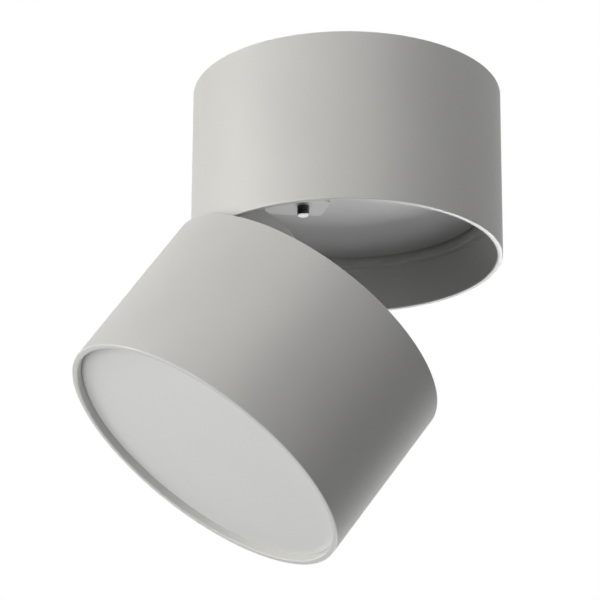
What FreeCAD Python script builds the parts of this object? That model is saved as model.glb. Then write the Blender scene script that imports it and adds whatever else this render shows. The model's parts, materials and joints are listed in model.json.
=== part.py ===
import FreeCAD, Part

import math
import os

import Sketcher
from FreeCAD import Placement, Rotation, Vector

# Surface mounted ceiling spotlight with a folding head.
#
# Two equal cylinders share one axis when the lamp is folded shut: the canopy on the ceiling and
# the lamp head below it. Inside the canopy a swivel disc turns about the vertical axis and carries
# a hinge, so the head can be panned round and folded open at one side of the rim.
#
# Frame: the origin is the centre of the ceiling face, +Z points up into the ceiling, and the hinge
# lies on the -X side. Lengths are millimetres and angles are degrees. The head's pieces are drawn
# folded shut, below the canopy, and are then turned open about the hinge pin to the rest pose.

SIZES = [
    # The two halves
    ("outer_dia", 100.0, "outside diameter of both halves"),
    ("rim_wall", 1.9, "wall at the open rims"),
    ("core_wall", 4.0, "wall behind the inner steps"),
    ("canopy_height", 56.5, "ceiling to the canopy's rim"),
    ("head_height", 56.5, "back rim to front rim of the head"),
    ("halves_gap", 1.5, "gap between the rims when folded shut"),
    ("rim_bevel", 0.3, "bevel along the rims' edges"),
    ("canopy_step", 15.0, "depth of the thin wall inside the canopy's rim"),
    # Hinge place and rest pose
    ("pivot_inset", 6.8, "hinge axis in from the outer wall"),
    ("pivot_rise", 8.6, "hinge axis above the canopy's rim"),
    ("rest_tilt", 35.0, "opening of the head at rest"),
    # Fits
    ("slide_fit", 0.05, "running clearance of shafts and faces that turn"),
    ("loose_fit", 0.2, "clearance round plates and covers"),
    ("cut_past", 2.0, "how far a cut runs past the solid that it goes through"),
    # Ceiling plate
    ("plate_gap", 0.5, "gap round the ceiling plate"),
    ("plate_thick", 1.5, "sheet of the ceiling plate"),
    ("plate_slot_spacing", 60.0, "between the two fixing slots"),
    ("plate_slot_wide", 4.5, "width of a fixing slot"),
    ("plate_slot_long", 12.0, "end-to-end length of a fixing slot"),
    ("entry_rad", 7.0, "hole for the mains cable"),
    ("entry_bore", 4.5, "bore of the cable bushing"),
    ("entry_flange", 9.5, "radius of the cable bushing's collar"),
    ("entry_collar", 3.5, "collar of the cable bushing below the plate"),
    # Twist lock between the plate and the canopy shell
    ("lock_count", 3, "number of twist locks"),
    ("lug_reach", 4.0, "how far a lug stands in from the bore"),
    ("lug_top", 3.5, "ceiling to the top of a lug"),
    ("lug_thick", 3.0, "height of a lug"),
    ("lug_angle", 20.0, "sector that a lug spans"),
    ("hook_angle", 16.0, "sector that a hook spans"),
    ("hook_thick", 1.2, "sheet of a hook"),
    ("hook_gap", 0.8, "between a hook's stem and the lugs"),
    ("post_root", 1.0, "how far lugs and bosses run into the wall that carries them"),
    # Carrier plate and its bosses
    ("carrier_thick", 2.0, "sheet of the carrier plate"),
    ("boss_inset", 4.0, "inner wall in to the axis of a boss"),
    ("boss_rad", 4.5, "radius of a boss"),
    ("boss_tall", 8.0, "height of a boss in the canopy"),
    ("boss_hole", 1.6, "screw hole through a boss"),
    ("cover_boss_tall", 9.0, "height of a boss in the head"),
    # M3 pan head screws
    ("screw_rad", 1.5, "M3 shank"),
    ("screw_head_rad", 2.75, "M3 pan head"),
    ("screw_head_tall", 1.8, "height of an M3 pan head"),
    # Swivel
    ("disc_gap", 1.6, "inner wall in to the edge of the swivel disc"),
    ("disc_thick", 1.5, "sheet of the swivel disc"),
    ("disc_recess", 17.7, "canopy's rim up to the swivel disc"),
    ("swivel_space", 4.3, "between the disc and the carrier plate"),
    ("hub_rad", 7.0, "threaded tube of the hub"),
    ("hub_bore", 4.0, "cable way through the hub"),
    ("hub_flange_rad", 10.0, "flange of the hub"),
    ("hub_flange_thick", 2.0, "thickness of the hub's flange"),
    ("hub_end", 2.15, "thread of the hub above its nut"),
    ("wave_thick", 0.8, "height of the spring washer"),
    ("nut_flats", 19.0, "across the flats of the hub nut"),
    ("nut_thick", 3.5, "height of the hub nut"),
    ("stop_inset", 3.4, "edge of the swivel disc in to a turning stop"),
    ("stop_rad", 1.75, "radius of a turning stop"),
    ("stop_lap", 1.0, "height by which the two stops overlap"),
    # Driver and terminals
    ("driver_nut_gap", 1.5, "between the hub nut and the driver case"),
    ("driver_wall_gap", 1.8, "between the driver case and the canopy's wall"),
    ("driver_boss_gap", 0.9, "between the driver's ears and the bosses"),
    ("driver_air", 10.1, "between the driver's lid and the ceiling plate"),
    ("driver_wall", 1.4, "wall of the driver case"),
    ("driver_lid_thick", 1.4, "thickness of the driver's lid"),
    ("driver_round", 3.0, "upright corners of the driver case"),
    ("driver_ear", 6.0, "length of a fixing ear"),
    ("driver_ear_wide", 9.0, "width of a fixing ear"),
    ("driver_leg", 3.0, "side of the square legs under the driver's board"),
    ("driver_leg_inset", 5.0, "ends of the driver case in to the board's legs"),
    ("board_thick", 1.6, "circuit boards"),
    ("driver_board_rise", 3.0, "driver's floor to its board"),
    ("transformer_long", 16.0, "transformer along the board"),
    ("transformer_wide", 14.0, "transformer across the board"),
    ("transformer_air", 0.6, "between the transformer and the lid"),
    ("capacitor_rad", 4.5, "radius of the capacitor"),
    ("capacitor_air", 1.6, "between the capacitor and the lid"),
    ("part_inset", 12.0, "ends of the driver case in to the components"),
    ("terminal_wide", 13.0, "width of the terminal block"),
    ("terminal_tall", 11.0, "height of the terminal block"),
    ("terminal_place", 27.0, "canopy's axis to the terminal block"),
    ("terminal_pitch", 8.0, "between two terminals"),
    ("terminal_end", 5.0, "outer terminals to the ends of the block"),
    ("terminal_entry", 3.2, "side of a terminal's square wire entry"),
    ("terminal_entry_low", 3.7, "ceiling plate to the middle of the wire entries"),
    ("terminal_screw_rad", 1.4, "clamp screw of a terminal"),
    ("terminal_screw_deep", 4.0, "depth of a clamp screw's well"),
    ("terminal_chamfer", 1.5, "chamfer along the terminal block"),
    # Fixed hinge leaf
    ("leaf_thick", 1.5, "sheet of the leaf"),
    ("leaf_end", 7.0, "canopy's axis to the leaf's inner end"),
    ("leaf_flare", 21.5, "canopy's axis to where the leaf has its full width"),
    ("leaf_end_wide", 12.4, "width at the inner end"),
    ("leaf_wide", 16.8, "full width and length of the barrel"),
    ("leaf_corner", 1.8, "rounded corners at the inner end"),
    ("leaf_bend", 1.5, "inner radius of the bend"),
    ("bolt_near", 14.4, "canopy's axis to the first bolt"),
    ("bolt_spacing", 14.6, "between the two bolts"),
    ("bolt_rad", 2.0, "M4 shank"),
    ("bolt_head_rad", 3.5, "M4 low head"),
    ("bolt_head_tall", 2.0, "height of an M4 low head"),
    ("bolt_tip", 3.0, "thread that stands out of the leaf"),
    ("bolt_chamfer", 0.5, "chamfer at the thread's end"),
    # Hinge pin
    ("pin_rad", 1.5, "radius of the hinge pin"),
    ("pin_head_rad", 2.75, "head of the hinge pin"),
    ("pin_head_thick", 1.1, "thickness of the pin's head"),
    ("pin_groove_rad", 1.15, "groove for the retaining clip"),
    ("clip_rad", 2.6, "outside of the retaining clip"),
    ("clip_thick", 0.5, "sheet of the retaining clip"),
    ("clip_mouth", 1.8, "opening of the retaining clip"),
    ("pin_tail", 0.8, "pin beyond the clip"),
    # Yoke, the moving half of the hinge
    ("yoke_thick", 1.5, "sheet of the yoke"),
    ("washer_thick", 0.55, "friction washers between the barrel and the cheeks"),
    ("arm_end_rad", 3.2, "rounded end of a cheek at the pin"),
    ("arm_slope", 36.4, "slope of the cheek's edge above the pin"),
    ("arm_disc_gap", 0.7, "gap between the cheeks and the swivel disc when folded shut"),
    ("arm_rim_gap", 0.8, "gap between the neck's arc and the canopy's rim"),
    ("arm_reach", 30.5, "hinge axis to the far edge of the cheeks"),
    ("arm_corner", 11.5, "radius of the cheeks' upper corner"),
    ("foot_start", 5.0, "hinge axis to the near edge of the yoke's foot"),
    ("foot_screw_start", 10.5, "hinge axis to the first foot screw"),
    ("foot_screw_spacing", 14.0, "between the two foot screws"),
    ("backing_edge", 5.0, "foot screws to the ends of the backing plate"),
    ("backing_wide", 17.0, "width of the backing plate"),
    ("backing_thick", 2.0, "thickness of the backing plate"),
    # Back of the head
    ("cover_recess", 4.9, "back rim of the head down to its back cover"),
    ("cover_thick", 1.5, "sheet of the back cover"),
    # Cable grommets in the swivel disc and the back cover
    ("grommet_hole", 3.6, "radius of the hole for a grommet"),
    ("grommet_bore", 2.2, "cable way through a grommet"),
    ("grommet_flange", 5.0, "flange radius of a grommet"),
    ("grommet_lip", 1.0, "height of a grommet's flange"),
    ("disc_grommet_in", 24.0, "disc grommet towards the hinge from the canopy's axis"),
    ("disc_grommet_side", 19.0, "disc grommet to one side of the hinge leaf"),
    ("cover_grommet_in", 20.0, "cover grommet towards the hinge from the head's axis"),
    ("cover_grommet_side", 20.0, "cover grommet to one side of the yoke"),
    # Light source
    ("diffuser_recess", 2.5, "front rim of the head back to the diffuser"),
    ("diffuser_thick", 2.0, "opal sheet"),
    ("reflector_deep", 16.4, "light board to the diffuser"),
    ("reflector_thick", 0.8, "wall of the reflector"),
    ("sink_base", 4.0, "base of the heat sink"),
    ("sink_ledge", 1.6, "width of the step that the heat sink is pressed against"),
    ("fin_count", 24, "number of fins"),
    ("wire_space", 6.6, "between the fins and the backing plate"),
    ("fin_thick", 1.6, "thickness of a fin"),
    ("fin_start", 10.0, "inner end of the fins"),
    ("fin_gap", 0.5, "between the fins and the bosses"),
    ("chip_long", 3.5, "length of a light chip"),
    ("chip_wide", 2.8, "width of a light chip"),
    ("chip_tall", 0.8, "height of a light chip"),
    ("outer_ring", 32.0, "radius of the outer ring of chips"),
    ("outer_chips", 16, "chips in the outer ring"),
    ("inner_ring", 17.0, "radius of the inner ring of chips"),
    ("inner_chips", 8, "chips in the inner ring"),
    ("board_screw_count", 2, "screws of the light board"),
    ("board_screw_place", 25.0, "radius on which the light board's screws lie"),
    ("board_screw_rad", 1.25, "M2.5 shank"),
    ("board_screw_head_rad", 2.3, "M2.5 pan head"),
    ("board_screw_head_tall", 1.5, "height of an M2.5 pan head"),
    ("board_screw_long", 4.5, "M2.5 shank's length"),
]

# Radii are taken from the axis of a half and levels from the ceiling, all with the head folded shut.
PLACES = [
    ("outer_rad", "Sizes.outer_dia / 2", "outside radius"),
    ("rim_rad", "Places.outer_rad - Sizes.rim_wall", "inside radius at the rims"),
    ("core_rad", "Places.outer_rad - Sizes.core_wall", "inside radius behind the steps"),
    ("plate_rad", "Places.core_rad - Sizes.plate_gap", "radius of the ceiling plate"),
    ("disc_rad", "Places.core_rad - Sizes.disc_gap", "radius of the swivel disc"),
    ("boss_place", "Places.core_rad - Sizes.boss_inset", "radius on which the bosses stand"),
    ("stop_place", "Places.disc_rad - Sizes.stop_inset", "radius on which the turning stops lie"),
    ("canopy_rim", "-Sizes.canopy_height", "level of the canopy's rim"),
    ("canopy_shoulder", "Places.canopy_rim + Sizes.canopy_step", "level of the canopy's inner step"),
    ("disc_low", "Places.canopy_rim + Sizes.disc_recess", "lower face of the swivel disc"),
    ("disc_top", "Places.disc_low + Sizes.disc_thick", "upper face of the swivel disc"),
    ("carrier_low", "Places.disc_top + Sizes.swivel_space", "lower face of the carrier plate"),
    ("carrier_top", "Places.carrier_low + Sizes.carrier_thick", "upper face of the carrier plate"),
    ("boss_top", "Places.carrier_top + Sizes.boss_tall", "top of the canopy's bosses"),
    ("lug_low", "-Sizes.lug_top - Sizes.lug_thick", "underside of the twist-lock lugs"),
    ("hook_rad", "Places.core_rad - Sizes.lug_reach - Sizes.hook_gap", "outside of a hook's stem"),
    ("wave_low", "Places.carrier_top + Sizes.slide_fit", "underside of the spring washer"),
    ("nut_low", "Places.wave_low + Sizes.wave_thick", "underside of the hub nut"),
    ("hub_top", "Places.nut_low + Sizes.nut_thick + Sizes.hub_end", "upper end of the hub"),
    ("nut_corner", "Sizes.nut_flats / sqrt(3)", "hub nut from its middle to a corner"),
    ("boss_side", "Places.boss_place * cos(30)", "bosses beside the driver, along X"),
    ("ear_end", "Places.boss_side - Sizes.boss_rad - Sizes.driver_boss_gap", "end of an ear"),
    ("case_end", "Places.ear_end - Sizes.driver_ear", "end of the driver case along X"),
    ("ear_hole", "(Places.case_end + Places.ear_end) / 2", "driver screws from the middle"),
    ("case_reach", "Places.core_rad - Sizes.driver_wall_gap", "canopy's axis to the case's corners"),
    ("case_near", "Places.nut_corner + Sizes.driver_nut_gap", "canopy's axis to the driver case"),
    ("case_far", "sqrt(pow(Places.case_reach; 2) - pow(Places.case_end; 2))", "far side of the case"),
    ("case_long", "2 * Places.case_end", "length of the driver case"),
    ("case_wide", "Places.case_far - Places.case_near", "width of the driver case"),
    ("driver_mid", "-(Places.case_near + Places.case_far) / 2", "middle of the driver along Y"),
    ("lid_top", "-Sizes.plate_thick - Sizes.driver_air", "top of the driver's lid"),
    ("driver_top", "Places.lid_top - Sizes.driver_lid_thick", "rim of the driver case"),
    ("lip_low", "Places.driver_top - Sizes.driver_lid_thick", "underside of the lid's lip"),
    ("board_rise", "Sizes.driver_wall + Sizes.driver_board_rise", "driver's underside to its board"),
    ("on_board", "Places.carrier_top + Places.board_rise + Sizes.board_thick", "top of that board"),
    ("leg_place", "Places.case_end - Sizes.driver_leg_inset", "legs from the board's middle"),
    ("part_place", "Places.case_end - Sizes.part_inset", "components from the board's middle"),
    ("terminal_low", "-Sizes.plate_thick - Sizes.terminal_tall", "underside of the terminal block"),
    ("leaf_low", "Places.disc_low - Sizes.leaf_thick", "lower face of the hinge leaf"),
    ("pivot_x", "Sizes.pivot_inset - Places.outer_rad", "hinge axis along X"),
    ("pivot_z", "Places.canopy_rim + Sizes.pivot_rise", "level of the hinge axis"),
    ("barrel_rad", "Sizes.pin_rad + Sizes.leaf_thick", "outside of the leaf's barrel"),
    ("washer_in", "Sizes.leaf_wide / 2 + Sizes.slide_fit", "inner face of a friction washer"),
    ("cheek_in", "Places.washer_in + Sizes.washer_thick", "inner face of a cheek along Y"),
    ("cheek_out", "Places.cheek_in + Sizes.yoke_thick", "outer face of a cheek along Y"),
    ("arm_top", "Places.disc_low - Sizes.arm_disc_gap", "upper edge of the cheeks"),
    ("rim_reach", "sqrt(pow(Sizes.pivot_inset; 2) + pow(Sizes.pivot_rise; 2))", "pin to the rim's corner"),
    ("neck_rad", "Places.rim_reach + Sizes.arm_rim_gap", "arc of the neck round the rim"),
    ("arm_rise", "Places.arm_top - Places.pivot_z", "hinge axis to the cheeks' upper edge"),
    ("head_top", "Places.canopy_rim - Sizes.halves_gap", "back rim of the head"),
    ("head_front", "Places.head_top - Sizes.head_height", "front rim of the head"),
    ("cover_top", "Places.head_top - Sizes.cover_recess", "outer face of the back cover"),
    ("cover_low", "Places.cover_top - Sizes.cover_thick", "inner face of the back cover"),
    ("foot_top", "Places.cover_top + Sizes.yoke_thick", "upper face of the yoke's foot"),
    ("backing_low", "Places.cover_low - Sizes.backing_thick", "lower face of the backing plate"),
    ("foot_screw_one", "Places.pivot_x + Sizes.foot_screw_start", "first foot screw along X"),
    ("foot_screw_two", "Places.foot_screw_one + Sizes.foot_screw_spacing", "second foot screw"),
    ("diffuser_low", "Places.head_front + Sizes.diffuser_recess", "front face of the diffuser"),
    ("diffuser_top", "Places.diffuser_low + Sizes.diffuser_thick", "back face of the diffuser"),
    ("front_bore", "Places.core_rad - Sizes.sink_ledge", "bore of the head in front of the sink"),
    ("liner_rad", "Places.front_bore - Sizes.loose_fit - Sizes.reflector_thick", "reflector's inside"),
    ("board_low", "Places.diffuser_top + Sizes.reflector_deep", "front face of the light board"),
    ("sink_low", "Places.board_low + Sizes.board_thick", "front face of the heat sink"),
    ("sink_top", "Places.sink_low + Sizes.sink_base", "back of the heat sink's base"),
    ("fin_tall", "Places.backing_low - Sizes.wire_space - Places.sink_top", "height of a fin"),
    ("fin_end", "Places.boss_place - Sizes.boss_rad - Sizes.fin_gap", "outer end of the fins"),
]

SHEET_NAMES = {"Sizes": SIZES, "Places": PLACES}
FULL_TURN = 360.0
NUT_SIDES = 6
NEAR = 1e-4
MIDDLE = ("0", "0")
BOLTS = [("-Sizes.bolt_near", "0"), ("-Sizes.bolt_near - Sizes.bolt_spacing", "0")]
FOOT_SCREWS = [("Places.foot_screw_one", "0"), ("Places.foot_screw_two", "0")]
DRIVER_SCREWS = [("-Places.ear_hole", "Places.driver_mid"), ("Places.ear_hole", "Places.driver_mid")]
BOARD_SCREW = ("0", "Sizes.board_screw_place")
BOSS = ("0", "Places.boss_place")

document = FreeCAD.newDocument("ceiling_spotlight")
sub_parts = []


def fill_sheet(name, rows):
    """Write one value a row: its name, its value or formula, and what it is."""
    sheet = document.addObject("Spreadsheet::Sheet", name)
    for row, (alias, value, note) in enumerate(rows, start=1):
        sheet.set(f"A{row}", alias)
        sheet.set(f"B{row}", f"={value}" if isinstance(value, str) else str(value))
        sheet.setAlias(f"B{row}", alias)
        sheet.set(f"C{row}", note)
    document.recompute()


for sheet_name, sheet_rows in SHEET_NAMES.items():
    fill_sheet(sheet_name, sheet_rows)


def value_of(expression):
    """The number that an expression on the two sheets gives now."""
    result = document.Sizes.evalExpression(expression)
    return float(getattr(result, "Value", result))


# Sketches

def new_body(label):
    """A sub-part; its label is the name of its node."""
    body = document.addObject("PartDesign::Body", label)
    body.Label = label
    sub_parts.append(body)
    return body


def origin_feature(body, role):
    """One of the body's own planes or axes."""
    return next(item for item in body.Origin.OriginFeatures if item.Role == role)


def new_sketch(body, role="XY_Plane", level=None, shift=None, side=None):
    """A sketch on an origin plane, moved along its normal by level and in it by shift and side."""
    sketch = body.newObject("Sketcher::SketchObject", f"{body.Label}_sketch")
    sketch.AttachmentSupport = (origin_feature(body, role), [""])
    sketch.MapMode = "FlatFace"
    for axis, expression in (("z", level), ("x", shift), ("y", side)):
        if expression is not None:
            sketch.setExpression(f"AttachmentOffset.Base.{axis}", expression)
    return sketch


def tie(sketch, kind, *where_and_value):
    """Add a dimension to the sketch and bind it to an expression."""
    *where, expression = where_and_value
    index = sketch.addConstraint(Sketcher.Constraint(kind, *where, value_of(expression)))
    sketch.setExpression(f"Constraints[{index}]", expression)


def place_point(sketch, geometry, point, corner):
    """Fix a point of the sketch at the X and Y that two expressions give."""
    tie(sketch, "DistanceX", geometry, point, corner[0])
    tie(sketch, "DistanceY", geometry, point, corner[1])


def draw_circle(sketch, radius, centre=MIDDLE):
    """A full circle."""
    middle = Vector(value_of(centre[0]), value_of(centre[1]), 0)
    geometry = sketch.addGeometry(Part.Circle(middle, Vector(0, 0, 1), value_of(radius)))
    place_point(sketch, geometry, 3, centre)
    tie(sketch, "Radius", geometry, radius)


def arc_between(start, end, radius, turn):
    """The arc of a radius from start to end; turn is left or right, with long for over half a turn."""
    chord = end - start
    height = math.sqrt(max(radius ** 2 - (chord.Length / 2) ** 2, 0.0))
    normal = Vector(-chord.y, chord.x, 0).normalize()
    towards_left = turn in ("left", "long right")
    centre = (start + end) * 0.5 + normal * (height if towards_left else -height)
    first, last = (start, end) if "left" in turn else (end, start)
    angles = [math.atan2(point.y - centre.y, point.x - centre.x) for point in (first, last)]
    return Part.ArcOfCircle(Part.Circle(centre, Vector(0, 0, 1), radius), *angles)


def draw_outline(sketch, corners):
    """Close the corners into one outline.

    A corner is (x, y), followed by a straight edge, or (x, y, turn, radius), followed by an arc.
    """
    points = [Vector(value_of(corner[0]), value_of(corner[1]), 0) for corner in corners]
    edges = []
    for index, corner in enumerate(corners):
        start = points[index]
        end = points[(index + 1) % len(points)]
        if len(corner) == 2:
            geometry = sketch.addGeometry(Part.LineSegment(start, end))
        else:
            geometry = sketch.addGeometry(arc_between(start, end, value_of(corner[3]), corner[2]))
        backwards = len(corner) == 4 and "right" in corner[2]
        edges.append((geometry, 2 if backwards else 1, 1 if backwards else 2))
    for index, corner in enumerate(corners):
        geometry, start_point, _ = edges[index]
        before, _, end_point = edges[index - 1]
        sketch.addConstraint(Sketcher.Constraint("Coincident", before, end_point, geometry, start_point))
        place_point(sketch, geometry, start_point, corner)
        if len(corner) == 4:
            tie(sketch, "Radius", geometry, corner[3])


def rectangle(left, right, low, high):
    """The corners of an upright rectangle."""
    return [(left, low), (right, low), (right, high), (left, high)]


def centred_rectangle(long, wide, x="0", y="0"):
    """The corners of a rectangle about a point."""
    return rectangle(f"{x} - {long} / 2", f"{x} + {long} / 2", f"{y} - {wide} / 2", f"{y} + {wide} / 2")


# Features

def volume_check(body, feature, grows):
    """Stop where a feature added or cut nothing."""
    before = feature.BaseFeature.Shape.Volume if feature.BaseFeature else 0.0
    document.recompute()
    change = feature.Shape.Volume - before
    if (change > 0) != grows or abs(change) < NEAR:
        raise ValueError(f"{body.Label}: {feature.Label} changed the volume by {change:.4f}")
    return feature


def pad(body, sketch, length, symmetric=False, reverse=False):
    """Thicken a sketch into solid."""
    feature = body.newObject("PartDesign::Pad", f"{body.Label}_pad")
    feature.Profile = sketch
    feature.setExpression("Length", length)
    feature.SideType = "Symmetric" if symmetric else "One side"
    feature.Reversed = reverse
    sketch.Visibility = False
    return volume_check(body, feature, grows=True)


def pocket(body, sketch, length=None, symmetric=False, reverse=False):
    """Cut a sketch out of the solid, all the way through where it has no length."""
    feature = body.newObject("PartDesign::Pocket", f"{body.Label}_pocket")
    feature.Profile = sketch
    feature.Type = "ThroughAll" if length is None else "Length"
    if length is not None:
        feature.setExpression("Length", length)
    feature.SideType = "Symmetric" if symmetric else "One side"
    feature.Reversed = reverse
    sketch.Visibility = False
    return volume_check(body, feature, grows=False)


def revolve(body, sketch, angle=None):
    """Turn a profile about the sketch's own vertical axis, fully or through a centred sector."""
    feature = body.newObject("PartDesign::Revolution", f"{body.Label}_turn")
    feature.Profile = sketch
    feature.ReferenceAxis = (sketch, ["V_Axis"])
    if angle is None:
        feature.Angle = FULL_TURN
    else:
        feature.Midplane = True
        feature.setExpression("Angle", angle)
    sketch.Visibility = False
    return volume_check(body, feature, grows=True)


def polar(body, features, count):
    """Repeat features round the vertical axis."""
    pattern = body.newObject("PartDesign::PolarPattern", f"{body.Label}_ring")
    pattern.Originals = features
    pattern.Axis = (origin_feature(body, "Z_Axis"), [""])
    pattern.Angle = FULL_TURN
    pattern.setExpression("Occurrences", count)
    body.Tip = pattern
    document.recompute()
    return pattern


def row(body, features, length, count=2):
    """Repeat features along the X axis."""
    pattern = body.newObject("PartDesign::LinearPattern", f"{body.Label}_row")
    pattern.Originals = features
    pattern.Direction = (origin_feature(body, "X_Axis"), [""])
    pattern.setExpression("Length", length)
    pattern.Occurrences = count
    body.Tip = pattern
    document.recompute()
    return pattern


def mirror(body, features, role):
    """Repeat features on the other side of an origin plane."""
    pattern = body.newObject("PartDesign::Mirrored", f"{body.Label}_mirror")
    pattern.Originals = features
    pattern.MirrorPlane = (origin_feature(body, role), [""])
    body.Tip = pattern
    document.recompute()
    return pattern


def dress(body, kind, size_name, expression, chosen):
    """Fillet or chamfer the edges of the body's tip that the test chooses."""
    base = body.Tip
    names = [f"Edge{number}" for number, edge in enumerate(base.Shape.Edges, start=1) if chosen(edge)]
    if not names:
        raise ValueError(f"{body.Label}: no edge to dress")
    feature = body.newObject(f"PartDesign::{kind}", f"{body.Label}_{kind.lower()}")
    feature.Base = (base, names)
    feature.setExpression(size_name, expression)
    document.recompute()
    return feature


def fillet(body, radius, chosen):
    """Round the chosen edges."""
    return dress(body, "Fillet", "Radius", radius, chosen)


def chamfer(body, size, chosen):
    """Bevel the chosen edges."""
    return dress(body, "Chamfer", "Size", size, chosen)


def upright_edge(test=lambda x, y: True):
    """A test for straight edges along Z whose place passes a further test."""
    def chosen(edge):
        if not isinstance(edge.Curve, Part.Line) or edge.Length < NEAR:
            return False
        start, end = (vertex.Point for vertex in edge.Vertexes)
        upright = math.hypot(start.x - end.x, start.y - end.y) < NEAR
        return upright and test(start.x, start.y)
    return chosen


# Pieces that come more than once

def round_plate(label, radius, level, thick):
    """A round plate; the level is its lower face."""
    body = new_body(label)
    sketch = new_sketch(body, level=level)
    draw_circle(sketch, radius)
    pad(body, sketch, thick)
    return body


def drill(body, radius, centres, level, length):
    """Round holes upwards from a level."""
    sketch = new_sketch(body, level=level)
    for centre in centres:
        draw_circle(sketch, radius, centre)
    return pocket(body, sketch, length, reverse=True)


def screw(body, seat, shank, place, head_up=True, size="Sizes.screw"):
    """One screw of a group, turned about its own axis; its head stands on the seat."""
    sketch = new_sketch(body, "XZ_Plane", shift=place[0], level=f"-({place[1]})")
    outwards, inwards = ("+", "-") if head_up else ("-", "+")
    tip = f"({seat}) {inwards} ({shank})"
    head_end = f"({seat}) {outwards} {size}_head_tall"
    draw_outline(sketch, [
        ("0", tip),
        (f"{size}_rad", tip),
        (f"{size}_rad", seat),
        (f"{size}_head_rad", seat),
        (f"{size}_head_rad", head_end),
        ("0", head_end),
    ])
    return revolve(body, sketch)


def ring(label, inner, outer, level, thick):
    """A flat washer about the canopy's axis; the level is its lower face."""
    body = new_body(label)
    sketch = new_sketch(body, level=level)
    draw_circle(sketch, outer)
    draw_circle(sketch, inner)
    pad(body, sketch, thick)
    return body


def cable_guide(label, place, bore, hole, collar, sheet):
    """A flanged bush in a sheet's hole; hole is its radius and the sheet is (lower face, thickness).

    The collar is (radius, height) and lies under the sheet.
    """
    body = new_body(label)
    sketch = new_sketch(body, "XZ_Plane", shift=place[0], level=f"-({place[1]})")
    low, thick = sheet
    foot = f"{low} - {collar[1]}"
    draw_outline(sketch, [
        (bore, foot),
        (collar[0], foot),
        (collar[0], low),
        (hole, low),
        (hole, f"{low} + {thick}"),
        (bore, f"{low} + {thick}"),
    ])
    revolve(body, sketch)
    return body


def grommet(label, place, low, thick):
    """A rubber grommet in a sheet; low is the sheet's lower face."""
    collar = ("Sizes.grommet_flange", "Sizes.grommet_lip")
    return cable_guide(label, place, "Sizes.grommet_bore", "Sizes.grommet_hole", collar, (low, thick))


def bosses(body, level, tall):
    """Three screw posts that grow out of a half's inner wall."""
    sketch = new_sketch(body, level=level)
    root = "Places.core_rad + Sizes.post_root"
    draw_outline(sketch, [
        ("Sizes.boss_rad", root),
        ("-Sizes.boss_rad", root),
        ("-Sizes.boss_rad", "Places.boss_place", "left", "Sizes.boss_rad"),
        ("0", "Places.boss_place - Sizes.boss_rad", "left", "Sizes.boss_rad"),
        ("Sizes.boss_rad", "Places.boss_place"),
    ])
    draw_circle(sketch, "Sizes.boss_hole", BOSS)
    posts = pad(body, sketch, tall)
    polar(body, [posts], "Sizes.lock_count")


# Canopy: what stays on the ceiling

def make_ceiling_plate():
    """Pressed steel plate with two fixing slots, a cable hole and the hooks of the twist lock."""
    body = round_plate("ceiling_plate", "Places.plate_rad", "-Sizes.plate_thick", "Sizes.plate_thick")
    drill(body, "Sizes.entry_rad", [MIDDLE], "-Sizes.plate_thick", "Sizes.plate_thick")
    slots = new_sketch(body, level="-Sizes.plate_thick")
    half_wide = "Sizes.plate_slot_wide / 2"
    straight = "(Sizes.plate_slot_long - Sizes.plate_slot_wide) / 2"
    for side in ("-", ""):
        middle = f"{side}Sizes.plate_slot_spacing / 2"
        left = f"{middle} - {straight}"
        right = f"{middle} + {straight}"
        draw_outline(slots, [
            (left, f"-{half_wide}"),
            (right, f"-{half_wide}", "left", half_wide),
            (f"{right} + {half_wide}", "0", "left", half_wide),
            (right, half_wide),
            (left, half_wide, "left", half_wide),
            (f"{left} - {half_wide}", "0", "left", half_wide),
        ])
    pocket(body, slots, "Sizes.plate_thick", reverse=True)
    hooks = new_sketch(body, "XZ_Plane")
    ledge = "Places.lug_low - Sizes.slide_fit"
    draw_outline(hooks, [
        ("-Places.hook_rad", "-Sizes.plate_thick"),
        ("-Places.hook_rad", ledge),
        ("-Places.plate_rad", ledge),
        ("-Places.plate_rad", f"{ledge} - Sizes.hook_thick"),
        ("Sizes.hook_thick - Places.hook_rad", f"{ledge} - Sizes.hook_thick"),
        ("Sizes.hook_thick - Places.hook_rad", "-Sizes.plate_thick"),
    ])
    hook = revolve(body, hooks, "Sizes.hook_angle")
    polar(body, [hook], "Sizes.lock_count")


def make_canopy_shell():
    """Turned aluminium ring, thin at its rim, with lugs for the twist lock and bosses inside."""
    body = new_body("canopy_shell")
    profile = new_sketch(body, "XZ_Plane")
    draw_outline(profile, [
        ("Places.core_rad", "0"),
        ("Places.core_rad", "Places.canopy_shoulder"),
        ("Places.rim_rad", "Places.canopy_shoulder"),
        ("Places.rim_rad", "Places.canopy_rim"),
        ("Places.outer_rad - Sizes.rim_bevel", "Places.canopy_rim"),
        ("Places.outer_rad", "Places.canopy_rim + Sizes.rim_bevel"),
        ("Places.outer_rad", "0"),
    ])
    revolve(body, profile)
    lugs = new_sketch(body, "XZ_Plane")
    draw_outline(lugs, rectangle(
        "-Places.core_rad - Sizes.post_root", "Sizes.lug_reach - Places.core_rad",
        "Places.lug_low", "-Sizes.lug_top"))
    lug = revolve(body, lugs, "Sizes.lug_angle")
    polar(body, [lug], "Sizes.lock_count")
    bosses(body, "Places.carrier_top", "Sizes.boss_tall")


def make_carrier_plate():
    """Steel plate across the canopy that carries the driver above and the swivel below."""
    radius = "Places.core_rad - Sizes.loose_fit"
    body = round_plate("carrier_plate", radius, "Places.carrier_low", "Sizes.carrier_thick")
    low = "Places.carrier_low"
    drill(body, "Sizes.hub_rad + Sizes.slide_fit", [MIDDLE], low, "Sizes.carrier_thick")
    drill(body, "Sizes.screw_rad", DRIVER_SCREWS, low, "Sizes.carrier_thick")
    tapped = drill(body, "Sizes.screw_rad", [BOSS], low, "Sizes.carrier_thick")
    polar(body, [tapped], "Sizes.lock_count")


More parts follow.
